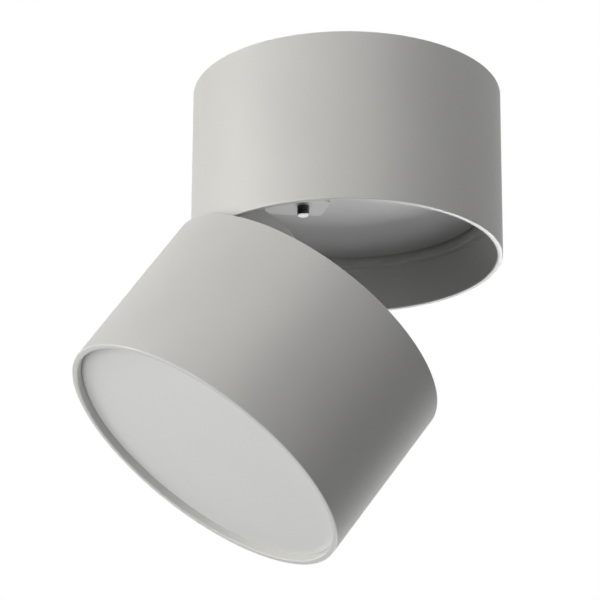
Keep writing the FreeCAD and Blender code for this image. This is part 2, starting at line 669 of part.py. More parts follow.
def make_carrier_screws():
    """Three screws from above, through the bosses into the carrier plate."""
    body = new_body("carrier_screws")
    shank = "Sizes.boss_tall + Sizes.carrier_thick"
    first = screw(body, "Places.boss_top", shank, BOSS)
    polar(body, [first], "Sizes.lock_count")


def make_stop(label, y, low, tall):
    """A riveted pin that limits how far the swivel turns."""
    body = new_body(label)
    sketch = new_sketch(body, level=low)
    draw_circle(sketch, "Sizes.stop_rad", ("0", y))
    pad(body, sketch, tall)


def make_entry_bushing():
    """Plastic bushing that lines the cable hole of the ceiling plate."""
    collar = ("Sizes.entry_flange", "Sizes.entry_collar")
    sheet = ("-Sizes.plate_thick", "Sizes.plate_thick")
    cable_guide("entry_bushing", MIDDLE, "Sizes.entry_bore", "Sizes.entry_rad", collar, sheet)


def make_terminal_block():
    """Three-pole terminal block under the ceiling plate, with its clamp screws."""
    low = "Places.terminal_low"
    long = "(2 * (Sizes.terminal_pitch + Sizes.terminal_end))"
    body = new_body("terminal_block")
    sketch = new_sketch(body, level=low)
    draw_outline(sketch, centred_rectangle(long, "Sizes.terminal_wide", y="Sizes.terminal_place"))
    pad(body, sketch, "Sizes.terminal_tall")

    def lower_long_edge(edge):
        ends = [vertex.Point for vertex in edge.Vertexes]
        along = abs(ends[0].x - ends[1].x) > value_of(long) - NEAR
        return along and abs(ends[0].z - value_of(low)) < NEAR

    chamfer(body, "Sizes.terminal_chamfer", lower_long_edge)
    poles = [f"{number} * Sizes.terminal_pitch" for number in (-1, 0, 1)]
    wells = new_sketch(body, level=low)
    entries = new_sketch(body, "XZ_Plane", level="-Sizes.terminal_place")
    for pole in poles:
        draw_circle(wells, "Sizes.terminal_screw_rad + Sizes.loose_fit", (pole, "Sizes.terminal_place"))
        draw_outline(entries, centred_rectangle(
            "Sizes.terminal_entry", "Sizes.terminal_entry", x=pole,
            y="-(Sizes.plate_thick + Sizes.terminal_entry_low)"))
    pocket(body, wells, "Sizes.terminal_screw_deep", reverse=True)
    pocket(body, entries, "Sizes.terminal_wide + Sizes.cut_past", symmetric=True)

    screws = new_body("terminal_screws")
    heads = new_sketch(screws, level=f"{low} + Sizes.terminal_screw_deep / 2")
    draw_circle(heads, "Sizes.terminal_screw_rad", (poles[0], "Sizes.terminal_place"))
    first = pad(screws, heads, "Sizes.terminal_screw_deep / 2")
    row(screws, [first], "2 * Sizes.terminal_pitch", count=len(poles))


def make_driver():
    """Plastic driver box on the carrier plate: case, lid, board, two components and its screws."""
    floor = "Places.carrier_top"
    wall = "Sizes.driver_wall"
    box_outline = centred_rectangle("Places.case_long", "Places.case_wide", y="Places.driver_mid")
    inner_long = f"(Places.case_long - 2 * {wall})"
    inner_wide = f"(Places.case_wide - 2 * {wall})"
    room_outline = centred_rectangle(inner_long, inner_wide, y="Places.driver_mid")
    loose_outline = centred_rectangle(
        f"({inner_long} - 2 * Sizes.loose_fit)", f"({inner_wide} - 2 * Sizes.loose_fit)",
        y="Places.driver_mid")

    case = new_body("driver_case")
    outline = new_sketch(case, level=floor)
    draw_outline(outline, box_outline)
    pad(case, outline, "Places.driver_top - Places.carrier_top")
    fillet(case, "Sizes.driver_round", upright_edge())
    ears = new_sketch(case, level=floor)
    draw_outline(ears, centred_rectangle(
        "(2 * Places.ear_end)", "Sizes.driver_ear_wide", y="Places.driver_mid"))
    pad(case, ears, wall)
    room = new_sketch(case, level=f"{floor} + {wall}")
    draw_outline(room, room_outline)
    pocket(case, room, reverse=True)
    drill(case, "Sizes.boss_hole", DRIVER_SCREWS, floor, wall)

    lid = new_body("driver_lid")
    top = new_sketch(lid, level="Places.driver_top")
    draw_outline(top, box_outline)
    pad(lid, top, "Sizes.driver_lid_thick")
    fillet(lid, "Sizes.driver_round", upright_edge())
    lip = new_sketch(lid, level="Places.driver_top")
    draw_outline(lip, loose_outline)
    pad(lid, lip, "Sizes.driver_lid_thick", reverse=True)

    board_level = f"{floor} + Places.board_rise"
    board = new_body("driver_board")
    blank = new_sketch(board, level=board_level)
    draw_outline(blank, loose_outline)
    pad(board, blank, "Sizes.board_thick")
    legs = new_sketch(board, level=board_level)
    for side in ("-", ""):
        draw_outline(legs, centred_rectangle(
            "Sizes.driver_leg", "Sizes.driver_leg", x=f"{side}Places.leg_place",
            y="Places.driver_mid"))
    pad(board, legs, "Sizes.driver_board_rise", reverse=True)

    transformer = new_body("driver_transformer")
    core = new_sketch(transformer, level="Places.on_board")
    draw_outline(core, centred_rectangle(
        "Sizes.transformer_long", "Sizes.transformer_wide", x="-Places.part_place", y="Places.driver_mid"))
    pad(transformer, core, "Places.lip_low - Sizes.transformer_air - Places.on_board")
    chamfer(transformer, "Sizes.terminal_chamfer", upright_edge())

    capacitor = new_body("driver_capacitor")
    can = new_sketch(capacitor, level="Places.on_board")
    draw_circle(can, "Sizes.capacitor_rad", ("Places.part_place", "Places.driver_mid"))
    pad(capacitor, can, "Places.lip_low - Sizes.capacitor_air - Places.on_board")

    screws = new_body("driver_screws")
    first = screw(screws, f"{floor} + {wall}", f"{wall} + Sizes.carrier_thick", DRIVER_SCREWS[0])
    row(screws, [first], "2 * Places.ear_hole")


# Swivel: what turns about the vertical axis

def make_swivel_disc():
    """Plain steel disc that closes the canopy and carries the hinge leaf."""
    body = round_plate("swivel_disc", "Places.disc_rad", "Places.disc_low", "Sizes.disc_thick")
    drill(body, "Sizes.bolt_rad + Sizes.slide_fit", BOLTS, "Places.disc_low", "Sizes.disc_thick")
    cable = ("-Sizes.disc_grommet_in", "Sizes.disc_grommet_side")
    drill(body, "Sizes.grommet_hole", [cable], "Places.disc_low", "Sizes.disc_thick")
    grommet("disc_grommet", cable, "Places.disc_low", "Sizes.disc_thick")


def make_swivel_hub():
    """Hollow threaded hub welded on the disc, with its bearing washer, spring washer and nut."""
    hub = new_body("swivel_hub")
    profile = new_sketch(hub, "XZ_Plane")
    flange_top = "Places.disc_top + Sizes.hub_flange_thick"
    draw_outline(profile, [
        ("Sizes.hub_bore", "Places.disc_top"),
        ("Sizes.hub_flange_rad", "Places.disc_top"),
        ("Sizes.hub_flange_rad", flange_top),
        ("Sizes.hub_rad", flange_top),
        ("Sizes.hub_rad", "Places.hub_top"),
        ("Sizes.hub_bore", "Places.hub_top"),
    ])
    revolve(hub, profile)

    bore = "Sizes.hub_rad + Sizes.slide_fit"
    ring("bearing_washer", bore, "Sizes.hub_flange_rad", flange_top,
         "Sizes.swivel_space - Sizes.hub_flange_thick - Sizes.slide_fit")
    ring("spring_washer", bore, "Sizes.hub_flange_rad", "Places.wave_low", "Sizes.wave_thick")

    nut = new_body("hub_nut")
    hexagon = new_sketch(nut, level="Places.nut_low")
    side_angle = FULL_TURN / NUT_SIDES
    corner = "Places.nut_corner"
    draw_outline(hexagon, [
        (f"{corner} * cos({side_angle * side})", f"{corner} * sin({side_angle * side})")
        for side in range(NUT_SIDES)])
    draw_circle(hexagon, "Sizes.hub_rad")
    pad(nut, hexagon, "Sizes.nut_thick")


def make_hinge_leaf():
    """Fixed leaf: flat under the disc, bent down over the rim and curled into a barrel."""
    body = new_body("hinge_leaf")
    profile = new_sketch(body, "XZ_Plane")
    inner_face = "Places.pivot_x + Places.barrel_rad"
    outer_face = "Places.pivot_x + Sizes.pin_rad"
    outer_bend = "Sizes.leaf_bend + Sizes.leaf_thick"
    # Where the leaf's outer face leaves the round of the barrel
    meeting = "sqrt(pow(Places.barrel_rad; 2) - pow(Sizes.pin_rad; 2))"
    draw_outline(profile, [
        (inner_face, "Places.pivot_z"),
        (inner_face, "Places.leaf_low - Sizes.leaf_bend", "right", "Sizes.leaf_bend"),
        (f"{inner_face} + Sizes.leaf_bend", "Places.leaf_low"),
        ("-Sizes.leaf_end", "Places.leaf_low"),
        ("-Sizes.leaf_end", "Places.disc_low"),
        (f"{inner_face} + Sizes.leaf_bend", "Places.disc_low", "left", outer_bend),
        (outer_face, f"Places.disc_low - ({outer_bend})"),
        (outer_face, f"Places.pivot_z + {meeting}", "left", "Places.barrel_rad"),
        ("Places.pivot_x - Places.barrel_rad", "Places.pivot_z", "left", "Places.barrel_rad"),
        ("Places.pivot_x", "Places.pivot_z - Places.barrel_rad", "left", "Places.barrel_rad"),
    ])
    draw_circle(profile, "Sizes.pin_rad", ("Places.pivot_x", "Places.pivot_z"))
    pad(body, profile, "Sizes.leaf_wide", symmetric=True)

    flare = new_sketch(body, level="Places.leaf_low")
    past_end = "Sizes.cut_past - Sizes.leaf_end"
    for side in ("", "-"):
        past_side = f"{side}(Sizes.leaf_wide / 2 + Sizes.cut_past)"
        draw_outline(flare, [
            ("-Sizes.leaf_flare", f"{side}Sizes.leaf_wide / 2"),
            ("-Sizes.leaf_end", f"{side}Sizes.leaf_end_wide / 2"),
            (past_end, f"{side}Sizes.leaf_end_wide / 2"),
            (past_end, past_side),
            ("-Sizes.leaf_flare", past_side),
        ])
    pocket(body, flare, "Sizes.leaf_thick", reverse=True)
    drill(body, "Sizes.bolt_rad", BOLTS, "Places.leaf_low", "Sizes.leaf_thick")
    end_x = value_of("-Sizes.leaf_end")
    fillet(body, "Sizes.leaf_corner", upright_edge(lambda x, y: abs(x - end_x) < NEAR))


def make_leaf_bolts():
    """Two bolts through the disc and the leaf; their threads stand out below."""
    body = new_body("leaf_bolts")
    sketch = new_sketch(body, "XZ_Plane", shift=BOLTS[1][0])
    tip = "Places.leaf_low - Sizes.bolt_tip"
    head_end = "Places.disc_top + Sizes.bolt_head_tall"
    draw_outline(sketch, [
        ("0", tip),
        ("Sizes.bolt_rad - Sizes.bolt_chamfer", tip),
        ("Sizes.bolt_rad", f"{tip} + Sizes.bolt_chamfer"),
        ("Sizes.bolt_rad", "Places.disc_top"),
        ("Sizes.bolt_head_rad", "Places.disc_top"),
        ("Sizes.bolt_head_rad", head_end),
        ("0", head_end),
    ])
    first = revolve(body, sketch)
    row(body, [first], "Sizes.bolt_spacing")


# Hinge pin: it lies along Y, so its profiles are turned about a line through the pivot

def pin_turn(body, corners):
    """Turn a profile about the hinge axis; its corners are (radius, place along Y)."""
    sketch = new_sketch(body, "XY_Plane", level="Places.pivot_z", shift="Places.pivot_x")
    draw_outline(sketch, corners)
    return revolve(body, sketch)


def make_hinge_pin():
    """Headed pin through both cheeks and the barrel, held by a clip in its groove."""
    head_seat = "-Places.cheek_out - Sizes.slide_fit"
    groove = "Places.cheek_out + Sizes.slide_fit"
    pin = new_body("hinge_pin")
    pin_turn(pin, [
        ("0", f"{head_seat} - Sizes.pin_head_thick"),
        ("Sizes.pin_head_rad", f"{head_seat} - Sizes.pin_head_thick"),
        ("Sizes.pin_head_rad", head_seat),
        ("Sizes.pin_rad", head_seat),
        ("Sizes.pin_rad", groove),
        ("Sizes.pin_groove_rad", groove),
        ("Sizes.pin_groove_rad", f"{groove} + Sizes.clip_thick"),
        ("Sizes.pin_rad", f"{groove} + Sizes.clip_thick"),
        ("Sizes.pin_rad", f"{groove} + Sizes.clip_thick + Sizes.pin_tail"),
        ("0", f"{groove} + Sizes.clip_thick + Sizes.pin_tail"),
    ])

    clip = new_body("pin_clip")
    pin_turn(clip, rectangle(
        "Sizes.pin_groove_rad", "Sizes.clip_rad", groove, f"{groove} + Sizes.clip_thick"))
    mouth = new_sketch(clip, "XZ_Plane", level=f"-({groove})")
    half_mouth = "Sizes.clip_mouth / 2"
    draw_outline(mouth, rectangle(
        f"Places.pivot_x - {half_mouth}", f"Places.pivot_x + {half_mouth}",
        "Places.pivot_z - Sizes.clip_rad - Sizes.cut_past", "Places.pivot_z"))
    pocket(clip, mouth, "2 * Sizes.clip_thick + Sizes.cut_past", symmetric=True)


# Head: drawn folded shut

def make_yoke():
    """Moving half of the hinge: a channel whose cheeks swan-neck over the canopy's rim."""
    body = new_body("yoke")
    sketch = new_sketch(body, "XZ_Plane")
    x = "Places.pivot_x"
    z = "Places.pivot_z"
    slope_x = "Sizes.arm_end_rad * sin(Sizes.arm_slope)"
    slope_z = "Sizes.arm_end_rad * cos(Sizes.arm_slope)"
    slope_run = f"(Places.arm_rise - {slope_z}) / tan(Sizes.arm_slope)"
    far = f"{x} + Sizes.arm_reach"
    neck_low = "sqrt(pow(Places.neck_rad; 2) - pow(Sizes.foot_start; 2))"
    neck_out = "sqrt(pow(Places.neck_rad; 2) - pow(Sizes.arm_end_rad; 2))"
    draw_outline(sketch, [
        (x, f"{z} - Sizes.arm_end_rad", "right", "Sizes.arm_end_rad"),
        (f"{x} - {slope_x}", f"{z} + {slope_z}"),
        (f"{x} - {slope_x} + {slope_run}", "Places.arm_top"),
        (f"{far} - Sizes.arm_corner", "Places.arm_top", "right", "Sizes.arm_corner"),
        (far, "Places.arm_top - Sizes.arm_corner"),
        (far, "Places.cover_top"),
        (f"{x} + Sizes.foot_start", "Places.cover_top"),
        (f"{x} + Sizes.foot_start", f"{z} - {neck_low}", "left", "Places.neck_rad"),
        (f"{x} + {neck_out}", f"{z} - Sizes.arm_end_rad"),
    ])
    draw_circle(sketch, "Sizes.pin_rad + Sizes.slide_fit", (x, z))
    pad(body, sketch, "2 * Places.cheek_out", symmetric=True)

    channel = new_sketch(body, "XZ_Plane")
    draw_outline(channel, rectangle(
        f"{x} - Sizes.arm_end_rad - Sizes.cut_past", f"{far} + Sizes.cut_past",
        "Places.foot_top", "Places.disc_low"))
    pocket(body, channel, "2 * Places.cheek_in", symmetric=True)
    drill(body, "Sizes.boss_hole", FOOT_SCREWS, "Places.cover_top", "Sizes.yoke_thick")
    return body


def make_friction_washers():
    """Two washers between the barrel and the cheeks that hold the head where it is put."""
    body = new_body("friction_washers")
    turned = pin_turn(body, rectangle(
        "Sizes.pin_rad + Sizes.slide_fit", "Places.barrel_rad", "Places.washer_in", "Places.cheek_in"))
    mirror(body, [turned], "XZ_Plane")
    return body


def make_back_cover():
    """Sheet steel cover let into the back of the head, with its screws and cable grommet."""
    radius = "Places.rim_rad - Sizes.loose_fit"
    low = "Places.cover_low"
    cover = round_plate("back_cover", radius, low, "Sizes.cover_thick")
    drill(cover, "Sizes.boss_hole", FOOT_SCREWS, low, "Sizes.cover_thick")
    cable = ("-Sizes.cover_grommet_in", "Sizes.cover_grommet_side")
    drill(cover, "Sizes.grommet_hole", [cable], low, "Sizes.cover_thick")
    hole = drill(cover, "Sizes.boss_hole", [BOSS], low, "Sizes.cover_thick")
    polar(cover, [hole], "Sizes.lock_count")

    cover_screws = new_body("back_cover_screws")
    first = screw(cover_screws, "Places.cover_top", "Sizes.cover_boss_tall", BOSS)
    polar(cover_screws, [first], "Sizes.lock_count")
    seal = grommet("head_grommet", cable, low, "Sizes.cover_thick")
    return [cover, cover_screws, seal]


def make_backing_plate():
    """Tapped plate behind the back cover that the yoke's two screws pull against."""
    plate = new_body("backing_plate")
    middle = "Places.foot_screw_one + Sizes.foot_screw_spacing / 2"
    sketch = new_sketch(plate, level="Places.backing_low")
    long = "(Sizes.foot_screw_spacing + 2 * Sizes.backing_edge)"
    draw_outline(sketch, centred_rectangle(long, "Sizes.backing_wide", x=middle))
    for place in FOOT_SCREWS:
        draw_circle(sketch, "Sizes.screw_rad", place)
    pad(plate, sketch, "Sizes.backing_thick")

    screws = new_body("yoke_screws")
    shank = "Sizes.yoke_thick + Sizes.cover_thick + Sizes.backing_thick"
    first = screw(screws, "Places.foot_top", shank, FOOT_SCREWS[0])
    row(screws, [first], "Sizes.foot_screw_spacing")
    return [plate, screws]


def make_head_shell():
    """Cast aluminium body of the head, stepped for its cover, its heat sink and its diffuser."""
    body = new_body("head_shell")
    profile = new_sketch(body, "XZ_Plane")
    draw_outline(profile, [
        ("Places.outer_rad", "Places.head_top - Sizes.rim_bevel"),
        ("Places.outer_rad - Sizes.rim_bevel", "Places.head_top"),
        ("Places.rim_rad", "Places.head_top"),
        ("Places.rim_rad", "Places.cover_low"),
        ("Places.core_rad", "Places.cover_low"),
        ("Places.core_rad", "Places.sink_low"),
        ("Places.front_bore", "Places.sink_low"),
        ("Places.front_bore", "Places.diffuser_top"),
        ("Places.rim_rad", "Places.diffuser_top"),
        ("Places.rim_rad", "Places.head_front"),
        ("Places.outer_rad - Sizes.rim_bevel", "Places.head_front"),
        ("Places.outer_rad", "Places.head_front + Sizes.rim_bevel"),
    ])
    revolve(body, profile)
    bosses(body, "Places.cover_low - Sizes.cover_boss_tall", "Sizes.cover_boss_tall")
    return body


def make_heat_sink():
    """Finned aluminium disc pressed into the head against its inner step."""
    radius = "Places.core_rad - Sizes.slide_fit"
    body = round_plate("heat_sink", radius, "Places.sink_low", "Sizes.sink_base")
    sketch = new_sketch(body, level="Places.sink_top")
    draw_outline(sketch, rectangle(
        "Sizes.fin_start", "Places.fin_end", "-Sizes.fin_thick / 2", "Sizes.fin_thick / 2"))
    fin = pad(body, sketch, "Places.fin_tall")
    polar(body, [fin], "Sizes.fin_count")
    tapped = drill(body, "Sizes.board_screw_rad", [BOARD_SCREW], "Places.sink_low", "Sizes.sink_base")
    polar(body, [tapped], "Sizes.board_screw_count")
    return body


def make_light_board():
    """Round light board with two rings of chips, screwed to the heat sink."""
    low = "Places.board_low"
    board = round_plate("light_board", "Places.liner_rad - Sizes.loose_fit", low, "Sizes.board_thick")
    hole_rad = "Sizes.board_screw_rad + Sizes.loose_fit"
    hole = drill(board, hole_rad, [BOARD_SCREW], low, "Sizes.board_thick")
    polar(board, [hole], "Sizes.board_screw_count")

    chips = new_body("light_chips")
    for place, count in (("outer_ring", "outer_chips"), ("inner_ring", "inner_chips")):
        sketch = new_sketch(chips, level=low)
        draw_outline(sketch, centred_rectangle("Sizes.chip_wide", "Sizes.chip_long", x=f"Sizes.{place}"))
        chip = pad(chips, sketch, "Sizes.chip_tall", reverse=True)
        polar(chips, [chip], f"Sizes.{count}")

    screws = new_body("light_board_screws")
    first = screw(screws, low, "Sizes.board_screw_long", BOARD_SCREW, head_up=False,
                  size="Sizes.board_screw")
    polar(screws, [first], "Sizes.board_screw_count")
    return [board, chips, screws]


def make_reflector():
    """White liner round the light board, from the heat sink to the diffuser."""
    outer = "Places.liner_rad + Sizes.reflector_thick"
    tall = "Sizes.reflector_deep + Sizes.board_thick"
    return ring("reflector", "Places.liner_rad", outer, "Places.diffuser_top", tall)


def make_diffuser():
    """Flat opal disc seated on the front step, a little behind the rim."""
    radius = "Places.rim_rad - Sizes.slide_fit"
    return round_plate("diffuser", radius, "Places.diffuser_low", "Sizes.diffuser_thick")


def open_head(bodies):
    """Turn the head's pieces open about the hinge pin, from folded shut to the rest pose."""
    turned_x = "(Places.pivot_x * cos(Sizes.rest_tilt) + Places.pivot_z * sin(Sizes.rest_tilt))"
    turned_z = "(Places.pivot_z * cos(Sizes.rest_tilt) - Places.pivot_x * sin(Sizes.rest_tilt))"
    for body in bodies:
        body.Placement = Placement(Vector(), Rotation(Vector(0, 1, 0), value_of("Sizes.rest_tilt")))
        body.setExpression("Placement.Rotation.Angle", "Sizes.rest_tilt")
        body.setExpression("Placement.Base.x", f"Places.pivot_x - {turned_x}")
        body.setExpression("Placement.Base.z", f"Places.pivot_z - {turned_z}")


def write_parts():
    """Check every object of the document, then write one file a sub-part."""
    document.recompute()
    failed = [item.Label for item in document.Objects if {"Invalid", "Error"} & set(item.State)]
    for body in sub_parts:
        if body.Shape.isNull() or not body.Shape.isValid() or not body.Shape.Solids:
            failed.append(body.Label)
    if failed:
        raise ValueError("failed: " + ", ".join(failed))
    os.makedirs("parts", exist_ok=True)
    for body in sub_parts:
        body.Shape.exportStep(os.path.join("parts", f"{body.Label}.step"))
    print(f"{len(sub_parts)} sub-parts written")


make_ceiling_plate()
make_entry_bushing()
make_terminal_block()
make_canopy_shell()
make_carrier_plate()
make_carrier_screws()
make_driver()
STOP_TALL = "(Sizes.swivel_space + Sizes.stop_lap) / 2"
make_stop("carrier_stop", "-Places.stop_place", f"Places.carrier_low - {STOP_TALL}", STOP_TALL)

make_swivel_disc()
make_stop("disc_stop", "Places.stop_place", "Places.disc_top", STOP_TALL)
make_swivel_hub()
make_hinge_leaf()
make_leaf_bolts()
make_hinge_pin()

head_pieces = [make_yoke(), make_friction_washers(), make_head_shell(), make_heat_sink(), make_reflector()]
head_pieces += make_back_cover() + make_backing_plate() + make_light_board() + [make_diffuser()]
open_head(head_pieces)
write_parts()
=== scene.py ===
import json
import math

import bmesh
import bpy
from mathutils import Matrix, Vector


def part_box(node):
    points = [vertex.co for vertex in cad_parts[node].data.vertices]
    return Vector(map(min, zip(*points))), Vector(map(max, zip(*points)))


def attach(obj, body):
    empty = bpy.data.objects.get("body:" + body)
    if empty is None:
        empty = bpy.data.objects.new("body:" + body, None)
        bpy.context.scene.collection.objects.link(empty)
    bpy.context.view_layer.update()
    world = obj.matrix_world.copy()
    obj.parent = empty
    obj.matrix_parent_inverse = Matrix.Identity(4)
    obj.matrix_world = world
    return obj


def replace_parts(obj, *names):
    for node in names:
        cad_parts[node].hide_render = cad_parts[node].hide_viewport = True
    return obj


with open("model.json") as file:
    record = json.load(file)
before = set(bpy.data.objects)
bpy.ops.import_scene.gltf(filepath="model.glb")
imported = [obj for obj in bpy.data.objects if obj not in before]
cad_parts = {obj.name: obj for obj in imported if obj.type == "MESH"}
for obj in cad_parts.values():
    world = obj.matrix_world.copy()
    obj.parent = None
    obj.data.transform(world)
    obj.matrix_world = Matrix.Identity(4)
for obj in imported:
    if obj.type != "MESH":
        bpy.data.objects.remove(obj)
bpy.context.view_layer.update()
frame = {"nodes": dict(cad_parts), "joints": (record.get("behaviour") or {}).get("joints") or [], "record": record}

# Looks of a surface mounted ceiling spotlight with a folding head: smooth turned shells with rounded
# rims, threads and screw recesses, softened sheet edges, finishes, floor, light and camera. Everything
# is in metres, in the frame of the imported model. Sizes are written in millimetres and multiplied by MM.

MM = 0.001
FULL_TURN = 2 * math.pi

# Driving sizes: the two halves
RIM_WALL = 1.9 * MM
CORE_WALL = 4.0 * MM
CANOPY_STEP = 15.0 * MM
HALVES_GAP = 1.5 * MM
HEAD_HEIGHT = 56.5 * MM
COVER_RECESS = 4.9 * MM
COVER_THICK = 1.5 * MM
DIFFUSER_RECESS = 2.5 * MM
DIFFUSER_THICK = 2.0 * MM
SINK_LEDGE = 1.6 * MM
SINK_FROM_DIFFUSER = 18.0 * MM
RIM_ROUND = 0.4 * MM
INNER_ROUND = 0.15 * MM
DIFFUSER_GAP = 0.05 * MM
DIFFUSER_ROUND = 0.25 * MM

# Posts and lugs inside the halves
POST_COUNT = 3
POST_INSET = 4.0 * MM
POST_RAD = 4.5 * MM
POST_HOLE = 1.6 * MM
POST_ROOT = 1.0 * MM
CANOPY_POST_TALL = 8.0 * MM
HEAD_POST_TALL = 9.0 * MM
LUG_REACH = 4.0 * MM
LUG_TOP = 3.5 * MM
LUG_THICK = 3.0 * MM
LUG_ANGLE = math.radians(20.0)
LUG_STEPS = 12

# Screws: shank radius, pitch, head radius and head height
M4_LOW = (2.0 * MM, 0.7 * MM, 3.5 * MM, 2.0 * MM)
M3_PAN = (1.5 * MM, 0.5 * MM, 2.75 * MM, 1.8 * MM)
M2_5_PAN = (1.25 * MM, 0.45 * MM, 2.3 * MM, 1.5 * MM)
BOLT_COUNT = 2
BOLT_NEAR = 14.4 * MM
BOLT_SPACING = 14.6 * MM
FOOT_SCREW_COUNT = 2
FOOT_SCREW_START = 10.5 * MM
FOOT_SCREW_SPACING = 14.0 * MM
FOOT_SCREW_GRIP = 5.0 * MM
YOKE_THICK = 1.5 * MM
BOARD_THICK = 1.6 * MM
BOARD_SCREW_PLACE = 25.0 * MM
BOARD_SCREW_LONG = 4.5 * MM
SCREW_TURNS = (24.0, 71.0, 48.0)

# Threads: the groove's depth is a share of the pitch, and the steps are rings for each turn
THREAD_DEPTH = 0.61
THREAD_SIDES = 48
THREAD_STEPS = 8
THREAD_TIP = 0.25 * MM
THREAD_END_RINGS = 3

# Screw heads: plain side and depth of the cross are shares of the head's height, and the cross's
# reach, half width and sloping wall are shares of its radius
HEAD_RINGS = 30
HEAD_SIDES = 72
HEAD_SIDE = 0.35
DOME_POWER = 3
CROSS_DEPTH = 0.6
CROSS_REACH = 0.55
CROSS_HALF = 0.17
CROSS_WALL = 0.05

# Turned and softened pieces
SHELL_SIDES = 256
POST_SIDES = 48
ROUND_STEPS = 4
FLAT_ANGLE = math.radians(0.5)
EDGE_ANGLE = math.radians(35)
EDGE_STEPS = 3
MERGE_REACH = 1e-7
STRAIGHT_HALF = math.radians(89)
SMALLEST_SHARE = 1e-9
SHADING_WEIGHT = 100

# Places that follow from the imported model
shell_low, shell_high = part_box("canopy_shell")
OUTER = shell_high.x
RIM_IN = OUTER - RIM_WALL
CORE = OUTER - CORE_WALL
CANOPY_RIM = shell_low.z
CANOPY_SHOULDER = CANOPY_RIM + CANOPY_STEP
CARRIER_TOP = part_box("carrier_plate")[1].z
HEAD_TOP = CANOPY_RIM - HALVES_GAP
HEAD_FRONT = HEAD_TOP - HEAD_HEIGHT
COVER_TOP = HEAD_TOP - COVER_RECESS
COVER_LOW = COVER_TOP - COVER_THICK
DIFFUSER_TOP = HEAD_FRONT + DIFFUSER_RECESS + DIFFUSER_THICK
SINK_LOW = DIFFUSER_TOP + SINK_FROM_DIFFUSER
FRONT_BORE = CORE - SINK_LEDGE
POST_PLACE = CORE - POST_INSET
DIFFUSER_RAD = RIM_IN - DIFFUSER_GAP

tilt = next(joint for joint in frame["joints"] if joint["name"] == "tilt")
PIVOT = Vector(tilt["pos_m"])
REST_TILT = math.radians(-tilt["range_deg"][0])
SHUT_TO_REST = (Matrix.Translation(PIVOT) @ Matrix.Rotation(REST_TILT, 4, "Y")
                @ Matrix.Translation(-PIVOT))

record = frame["record"]
SLOT_OF = {part["node"]: part["material_slot"] for part in record["subparts"]}
BODY_OF = {node: body for body, nodes in record["behaviour"]["bodies"].items() for node in nodes}


# Finishes: detail of the two noises, and the part of a noise that is stretched over a range
CLOUD_DETAIL = 3.0
GRAIN_DETAIL = 4.0
NOISE_MIDDLE = (0.3, 0.7)


def link(tree, source, output, target, entry):
    """Join an output of one shader node to an input of another."""
    tree.links.new(source.outputs[output], target.inputs[entry])


def noise(tree, where, scale, detail):
    """Three-dimensional noise in the piece's own coordinates; the scale is in waves a metre."""
    node = tree.nodes.new("ShaderNodeTexNoise")
    node.inputs["Scale"].default_value = scale
    node.inputs["Detail"].default_value = detail
    link(tree, where, "Object", node, "Vector")
    return node


def spread(tree, source, low, high):
    """The middle part of a noise, stretched over a range of numbers."""
    node = tree.nodes.new("ShaderNodeMapRange")
    node.inputs["From Min"].default_value = NOISE_MIDDLE[0]
    node.inputs["From Max"].default_value = NOISE_MIDDLE[1]
    node.inputs["To Min"].default_value = low
    node.inputs["To Max"].default_value = high
    link(tree, source, "Fac", node, "Value")
    return node


def finish_of(name, colours, roughness, cloud, grain, depth, metallic=0.0, specular=0.5):
    """A finish with clouded colour, uneven roughness and a fine relief.

    The cloud and the grain are waves a metre, and the depth of the grain is in metres.
    """
    material = bpy.data.materials.new(name)
    material.use_nodes = True
    tree = material.node_tree
    shader = tree.nodes["Principled BSDF"]
    shader.inputs["Metallic"].default_value = metallic
    shader.inputs["Specular IOR Level"].default_value = specular
    where = tree.nodes.new("ShaderNodeTexCoord")
    clouds = noise(tree, where, cloud, CLOUD_DETAIL)
    grains = noise(tree, where, grain, GRAIN_DETAIL)
    colour = tree.nodes.new("ShaderNodeMix")
    colour.data_type = "RGBA"
    colour.inputs["A"].default_value = (*colours[0], 1.0)
    colour.inputs["B"].default_value = (*colours[1], 1.0)
    link(tree, spread(tree, clouds, 0.0, 1.0), "Result", colour, "Factor")
    link(tree, colour, "Result", shader, "Base Color")
    link(tree, spread(tree, grains, *roughness), "Result", shader, "Roughness")
    relief = tree.nodes.new("ShaderNodeBump")
    relief.inputs["Distance"].default_value = depth
    link(tree, grains, "Fac", relief, "Height")
    link(tree, relief, "Normal", shader, "Normal")
    return material


def grey(value, warmth=0.0):
    """A near neutral colour; warmth lifts the red end and lowers the blue end."""
    return (value * (1 + warmth), value, value * (1 - warmth))


